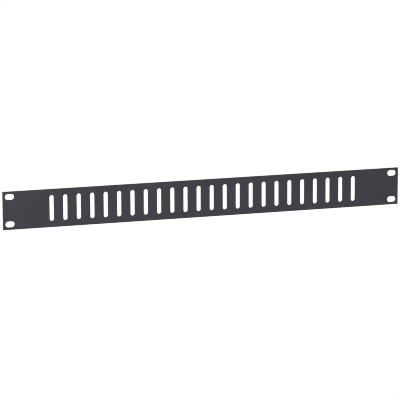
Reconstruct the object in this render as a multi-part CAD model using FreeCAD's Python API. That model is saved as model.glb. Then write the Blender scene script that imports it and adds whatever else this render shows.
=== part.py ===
import FreeCAD, Part
import os

# Vented blanking panel for one unit of a 19-inch equipment rack.
# It is one flat steel sheet: cut to its outline, punched with a row of upright vent slots and with
# four lying slots for the rack's screws, broken along all its edges and powder-coated.
#
# Frame, in millimetres: +X runs along the panel, +Z is up and the front face looks towards -Y.
# The origin is the centre of the rear face, which seats on the rack's two rails.

# What the rack sets
rack_unit = 44.45
hole_from_unit_edge = 6.35

# Sheet: the end margin is the sheet beyond the centre of a mounting slot
stacking_gap = 0.15
end_margin = 8.2
sheet_thickness = 1.6
corner_radius = 0.5
edge_break = 0.2

# Mounting slots: the travel is the straight stretch that lets the panel shift sideways on its screws
mount_spacing_x = 466.2
mount_slot_height = 7.0
mount_slot_travel = 3.8

# Vent slots, and the plain sheet that they leave beside, above, below and beyond them
vent_width = 5.2
bar_width = 10.8
vent_border = 7.15
least_plain_end = 50.0

# Sizes that follow
panel_width = mount_spacing_x + 2 * end_margin
panel_height = rack_unit - stacking_gap
mount_spacing_z = rack_unit - 2 * hole_from_unit_edge
vent_length = panel_height - 2 * vent_border
vent_pitch = vent_width + bar_width
vent_field = panel_width - 2 * least_plain_end
vent_count = int((vent_field + bar_width) // vent_pitch)

# The direction from the rear face to the front face, right through the sheet
through_sheet = FreeCAD.Vector(0, -sheet_thickness, 0)

# Two points nearer to each other than this are the same point
same_point = 1e-6


def sheet_blank():
    """The sheet cut to its outline, with its four corners rounded."""
    low_corner = FreeCAD.Vector(-panel_width / 2, -sheet_thickness, -panel_height / 2)
    blank = Part.makeBox(panel_width, sheet_thickness, panel_height, low_corner)
    corners = [edge for edge in blank.Edges if abs(edge.Vertexes[0].Y - edge.Vertexes[1].Y) > same_point]
    return blank.makeFillet(corner_radius, corners)


def slot_punch(centre_x, centre_z, reach, radius):
    """A punch of obround section. The reach goes from the slot's centre to that of its half circle."""
    centre = FreeCAD.Vector(centre_x, 0, centre_z)
    along = FreeCAD.Vector(reach).normalize() * radius
    across = along.cross(FreeCAD.Vector(0, 1, 0))
    first = centre - reach
    last = centre + reach
    outline = Part.Wire([
        Part.LineSegment(first + across, last + across).toShape(),
        Part.Arc(last + across, last + along, last - across).toShape(),
        Part.LineSegment(last - across, first - across).toShape(),
        Part.Arc(first - across, first - along, first + across).toShape(),
    ])
    return Part.Face(outline).extrude(through_sheet)


def mount_punches():
    """Four lying slots near the corners, level with the screw holes of one rack unit."""
    reach = FreeCAD.Vector(mount_slot_travel / 2, 0, 0)
    punches = []
    for side in (-1, 1):
        for level in (-1, 1):
            centre_x = side * mount_spacing_x / 2
            centre_z = level * mount_spacing_z / 2
            punches.append(slot_punch(centre_x, centre_z, reach, mount_slot_height / 2))
    return punches


def vent_punches():
    """A centred row of upright slots, one pitch apart."""
    reach = FreeCAD.Vector(0, 0, (vent_length - vent_width) / 2)
    first_x = -(vent_count - 1) * vent_pitch / 2
    return [slot_punch(first_x + index * vent_pitch, 0, reach, vent_width / 2) for index in range(vent_count)]


def rims_at(sheet, depth):
    """The edges of the outline and of every slot in the face at this depth."""
    return [edge for edge in sheet.Edges if all(abs(end.Y - depth) < same_point for end in edge.Vertexes)]


def blanking_panel():
    """The punched sheet, with the rims of both its faces broken."""
    sheet = sheet_blank().cut(Part.makeCompound(mount_punches() + vent_punches()))
    return sheet.makeChamfer(edge_break, rims_at(sheet, 0) + rims_at(sheet, -sheet_thickness))


os.makedirs("parts", exist_ok=True)
blanking_panel().exportStep("parts/panel.step")
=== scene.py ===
"""A vented rack blanking panel in matte charcoal powder coat, in the soft white light of a catalogue."""
import math

import bpy
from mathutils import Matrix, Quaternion, Vector


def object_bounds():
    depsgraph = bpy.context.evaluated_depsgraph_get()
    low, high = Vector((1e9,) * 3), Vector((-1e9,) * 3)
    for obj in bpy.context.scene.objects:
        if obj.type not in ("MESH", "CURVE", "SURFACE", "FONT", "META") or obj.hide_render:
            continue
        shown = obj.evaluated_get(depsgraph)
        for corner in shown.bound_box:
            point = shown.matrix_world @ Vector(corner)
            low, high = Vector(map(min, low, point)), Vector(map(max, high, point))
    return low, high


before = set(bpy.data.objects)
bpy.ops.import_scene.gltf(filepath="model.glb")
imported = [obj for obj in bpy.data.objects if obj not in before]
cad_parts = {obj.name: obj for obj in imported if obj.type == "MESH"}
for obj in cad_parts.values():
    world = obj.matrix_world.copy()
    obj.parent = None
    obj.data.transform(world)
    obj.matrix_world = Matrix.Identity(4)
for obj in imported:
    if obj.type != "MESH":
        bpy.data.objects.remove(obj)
cad_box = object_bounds()
scene = bpy.context.scene

MM = 0.001
WHITE = (1, 1, 1, 1)

# How bright the floor and the surroundings are: just over full white
SURROUND = 1.02


# Materials

# Most of a noise texture's values lie between these
NOISE_LOW = 0.3
NOISE_HIGH = 0.7

# Powder coat: the grains of sand, the longer wave under them and the mottle of its tone
SAND_SIZE = 0.55 * MM
SAND_HEIGHT = 0.10 * MM
WAVE_SIZE = 3.5 * MM
WAVE_HEIGHT = 0.05 * MM
MOTTLE_SIZE = 24 * MM
BUMP_STRENGTH = 0.6
DARK_TONE = (0.0148, 0.0143, 0.0202, 1)
LIGHT_TONE = (0.0228, 0.0222, 0.0296, 1)
HOLLOW_ROUGHNESS = 0.62
GRAIN_ROUGHNESS = 0.50
COAT_IOR = 1.48
COAT_SPECULAR = 0.35


def new_material(name, surface):
    """A node material that has only this surface shader, with its node tree and the shader."""
    material = bpy.data.materials.new(name)
    material.use_nodes = True
    tree = material.node_tree
    tree.nodes.clear()
    output = tree.nodes.new("ShaderNodeOutputMaterial")
    shader = tree.nodes.new(surface)
    tree.links.new(shader.outputs[0], output.inputs["Surface"])
    return material, tree, shader


def noise(tree, position, grain, detail=2.0, roughness=0.5):
    """Noise whose features are about one grain, in metres, across."""
    node = tree.nodes.new("ShaderNodeTexNoise")
    node.inputs["Scale"].default_value = 1 / grain
    node.inputs["Detail"].default_value = detail
    node.inputs["Roughness"].default_value = roughness
    tree.links.new(position, node.inputs["Vector"])
    return node.outputs["Fac"]


def spread(tree, value, low, high):
    """A noise value stretched to run from low to high."""
    node = tree.nodes.new("ShaderNodeMapRange")
    node.inputs["From Min"].default_value = NOISE_LOW
    node.inputs["From Max"].default_value = NOISE_HIGH
    node.inputs["To Min"].default_value = low
    node.inputs["To Max"].default_value = high
    tree.links.new(value, node.inputs["Value"])
    return node.outputs["Result"]


def bump(tree, value, height):
    """A bump node that raises the surface by this height, in metres, times a noise value."""
    node = tree.nodes.new("ShaderNodeBump")
    node.inputs["Distance"].default_value = height
    node.inputs["Strength"].default_value = BUMP_STRENGTH
    tree.links.new(value, node.inputs["Height"])
    return node


def powder_coat():
    """Matte charcoal powder coat: a fine sandy skin over a faint longer wave, with a slight mottle."""
    material, tree, shader = new_material("powder_coat_charcoal", "ShaderNodeBsdfPrincipled")
    position = tree.nodes.new("ShaderNodeTexCoord").outputs["Object"]
    sand = noise(tree, position, SAND_SIZE, detail=3.0, roughness=0.6)
    wave = noise(tree, position, WAVE_SIZE)
    mottle = noise(tree, position, MOTTLE_SIZE, detail=3.0)

    # The sand and the mottle have half of the tone each
    share = tree.nodes.new("ShaderNodeMath")
    share.operation = "ADD"
    tree.links.new(spread(tree, sand, 0.0, 0.5), share.inputs[0])
    tree.links.new(spread(tree, mottle, 0.0, 0.5), share.inputs[1])
    tone = tree.nodes.new("ShaderNodeMix")
    tone.data_type = "RGBA"
    tone.inputs["A"].default_value = DARK_TONE
    tone.inputs["B"].default_value = LIGHT_TONE
    tree.links.new(share.outputs["Value"], tone.inputs["Factor"])
    tree.links.new(tone.outputs["Result"], shader.inputs["Base Color"])

    tree.links.new(spread(tree, sand, HOLLOW_ROUGHNESS, GRAIN_ROUGHNESS), shader.inputs["Roughness"])
    shader.inputs["IOR"].default_value = COAT_IOR
    shader.inputs["Specular IOR Level"].default_value = COAT_SPECULAR

    long_bump = bump(tree, wave, WAVE_HEIGHT)
    fine_bump = bump(tree, sand, SAND_HEIGHT)
    tree.links.new(long_bump.outputs["Normal"], fine_bump.inputs["Normal"])
    tree.links.new(fine_bump.outputs["Normal"], shader.inputs["Normal"])
    return material


def light_table():
    """The lit white surface that catalogue pictures are taken on. It hides every shadow."""
    material, _, glow = new_material("light_table", "ShaderNodeEmission")
    glow.inputs["Color"].default_value = WHITE
    glow.inputs["Strength"].default_value = SURROUND
    return material


# The panel is the CAD sheet itself, in its coat

SAME_POINT = 0.001 * MM
THROUGH_SHEET = (0, 1, 0)
ALONG_SHEET = (1, 0, 1)


def vector_math(tree, operation, vector, factors=None):
    """The result of this operation on a vector, with fixed factors where the operation takes them."""
    node = tree.nodes.new("ShaderNodeVectorMath")
    node.operation = operation
    tree.links.new(vector, node.inputs[0])
    if factors:
        node.inputs[1].default_value = factors
    return node.outputs["Value" if operation == "LENGTH" else "Vector"]


def face_or_wall(tree):
    """Each point's normal, turned to the broad face or to the wall, whichever it leans to."""
    normal = tree.nodes.new("GeometryNodeInputNormal").outputs["True Normal"]
    facing = vector_math(tree, "MULTIPLY", normal, THROUGH_SHEET)
    outward = vector_math(tree, "MULTIPLY", normal, ALONG_SHEET)
    on_wall = tree.nodes.new("ShaderNodeMath")
    on_wall.operation = "GREATER_THAN"
    tree.links.new(vector_math(tree, "LENGTH", outward), on_wall.inputs[0])
    tree.links.new(vector_math(tree, "LENGTH", facing), on_wall.inputs[1])
    choice = tree.nodes.new("GeometryNodeSwitch")
    choice.input_type = "VECTOR"
    tree.links.new(on_wall.outputs["Value"], choice.inputs["Switch"])
    tree.links.new(facing, choice.inputs["False"])
    tree.links.new(outward, choice.inputs["True"])
    return vector_math(tree, "NORMALIZE", choice.outputs["Output"])


def soft_rims():
    """Geometry nodes that join the sheet's faces and let the light run round the rims between them."""
    tree = bpy.data.node_groups.new("soft_rims", "GeometryNodeTree")
    tree.interface.new_socket("Sheet", in_out="INPUT", socket_type="NodeSocketGeometry")
    tree.interface.new_socket("Sheet", in_out="OUTPUT", socket_type="NodeSocketGeometry")
    sheet = tree.nodes.new("NodeGroupInput")
    weld = tree.nodes.new("GeometryNodeMergeByDistance")
    weld.inputs["Distance"].default_value = SAME_POINT
    smooth = tree.nodes.new("GeometryNodeSetShadeSmooth")
    normals = tree.nodes.new("GeometryNodeSetMeshNormal")
    normals.mode = "FREE"
    result = tree.nodes.new("NodeGroupOutput")
    tree.links.new(sheet.outputs["Sheet"], weld.inputs["Geometry"])
    tree.links.new(weld.outputs["Geometry"], smooth.inputs["Geometry"])
    tree.links.new(smooth.outputs["Geometry"], normals.inputs["Mesh"])
    tree.links.new(face_or_wall(tree), normals.inputs["Custom Normal"])
    tree.links.new(normals.outputs["Mesh"], result.inputs["Sheet"])
    return tree


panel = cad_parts["panel"]
panel.modifiers.new("soft_rims", "NODES").node_group = soft_rims()
panel.data.materials.clear()
panel.data.materials.append(powder_coat())


# Floor: well below the panel, which is held up by its mount

FLOOR_DROP = 0.30
FLOOR_HALF = 12.0


def floor():
    """A large level square below the panel, apart from it."""
    low = cad_box[0].z - FLOOR_DROP
    mesh = bpy.data.meshes.new("floor")
    corners = [(x * FLOOR_HALF, y * FLOOR_HALF, low) for x, y in ((-1, -1), (1, -1), (1, 1), (-1, 1))]
    mesh.from_pydata(corners, [], [(0, 1, 2, 3)])
    mesh.materials.append(light_table())
    piece = bpy.data.objects.new("floor", mesh)
    scene.collection.objects.link(piece)


floor()


# Light: white from all round, a key light at the left and a weaker light behind and to the right

SOFT_BOX_SIZE = 0.8


def world_light():
    """White surroundings, as bright as the floor."""
    world = bpy.data.worlds.new("studio")
    world.use_nodes = True
    background = world.node_tree.nodes["Background"]
    background.inputs["Color"].default_value = WHITE
    background.inputs["Strength"].default_value = SURROUND
    scene.world = world


def soft_box(name, place, power):
    """A large square light, with its power in watts, that looks at the panel and isn't seen itself."""
    light = bpy.data.lights.new(name, "AREA")
    light.shape = "SQUARE"
    light.size = SOFT_BOX_SIZE
    light.energy = power
    piece = bpy.data.objects.new(name, light)
    piece.location = place
    piece.rotation_euler = (-Vector(place)).to_track_quat("-Z", "Y").to_euler()
    piece.visible_camera = False
    scene.collection.objects.link(piece)


world_light()
soft_box("key_light", place=(-1.4, -0.45, 1.0), power=60)
soft_box("rear_light", place=(1.5, 0.9, 0.9), power=30)


# Camera: a long lens, to the panel's left and above it, aimed just left of and below its front's centre.
# Blender takes the width of the sensor and the lens in millimetres.

CAMERA_AZIMUTH = math.radians(-17.54)
CAMERA_ELEVATION = math.radians(10.96)
CAMERA_ROLL = math.radians(0.286)
CAMERA_DISTANCE = 2.7993
SENSOR_WIDTH = 36.0
LENS = 216.36
AIM_RIGHT = -6.25 * MM
AIM_UP = -2.17 * MM
PIXEL_FILTER = 1.0


def camera():
    """The scene's camera, straight back from what it is aimed at and rolled a little."""
    back = Vector((
        math.sin(CAMERA_AZIMUTH) * math.cos(CAMERA_ELEVATION),
        -math.cos(CAMERA_AZIMUTH) * math.cos(CAMERA_ELEVATION),
        math.sin(CAMERA_ELEVATION),
    ))
    turn = (-back).to_track_quat("-Z", "Y") @ Quaternion((0, 0, 1), -CAMERA_ROLL)
    front_centre = (cad_box[0] + cad_box[1]) / 2
    front_centre.y = cad_box[0].y
    aim = front_centre + turn @ Vector((AIM_RIGHT, AIM_UP, 0))
    data = bpy.data.cameras.new("camera")
    data.sensor_width = SENSOR_WIDTH
    data.lens = LENS
    piece = bpy.data.objects.new("camera", data)
    piece.rotation_mode = "QUATERNION"
    piece.rotation_quaternion = turn
    piece.location = aim + back * CAMERA_DISTANCE
    scene.collection.objects.link(piece)
    scene.camera = piece


camera()
scene.cycles.filter_width = PIXEL_FILTER
scene.view_settings.view_transform = "Standard"
